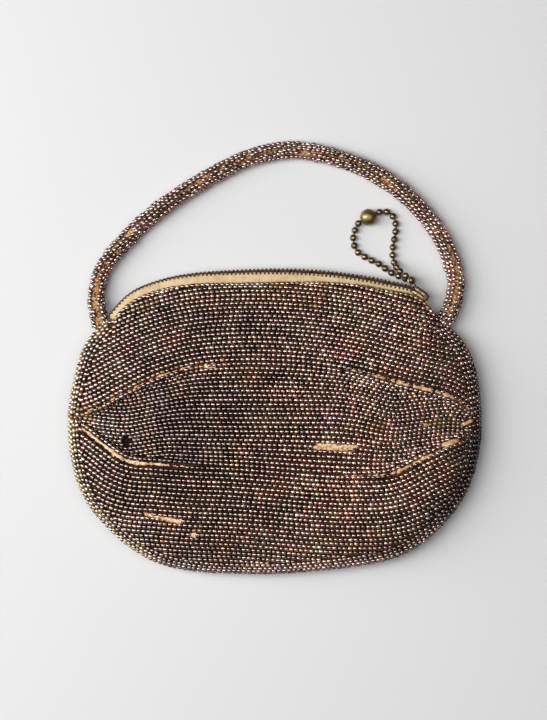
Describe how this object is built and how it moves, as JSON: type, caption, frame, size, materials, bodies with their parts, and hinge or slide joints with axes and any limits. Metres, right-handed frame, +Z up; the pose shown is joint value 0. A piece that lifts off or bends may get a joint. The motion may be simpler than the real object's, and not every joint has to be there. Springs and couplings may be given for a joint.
{
  "type": "beaded purse",
  "caption": "Soft oval evening purse covered in rows of seed beads, with tucked sides, a curved zip with a ball-chain pull and a beaded tube handle, lying on its back.",
  "frame": {"origin": "middle of the purse's bounding box, on the surface that it lies on", "axes": "+Z up out of the beaded front, +Y from the pouch towards the handle, +X towards the zip's slider"},
  "size_m": [0.1998, 0.2095, 0.0261],
  "materials": {
    "beaded_cloth": "rows of bronze-brown lustre seed beads on tan cloth",
    "handle_beading": "lengthwise rows of bronze-brown lustre seed beads on a cloth tube",
    "zip_tape": "tan cotton tape",
    "zip_teeth": "dark aged bronze",
    "zip_slider": "worn aged brass",
    "chain_brass": "dark antique brass",
    "ball_brass": "greenish antique brass"
  },
  "bodies": {
    "root": {"front_panel": "beaded_cloth", "back_panel": "beaded_cloth", "zipper_tape_front": "zip_tape", "zipper_tape_back": "zip_tape", "zipper_teeth_front": "zip_teeth", "zipper_teeth_back": "zip_teeth", "zipper_slider": "zip_slider", "ball_chain": "chain_brass", "chain_ball": "ball_brass", "handle": "handle_beading"}
  },
  "joints": []
}
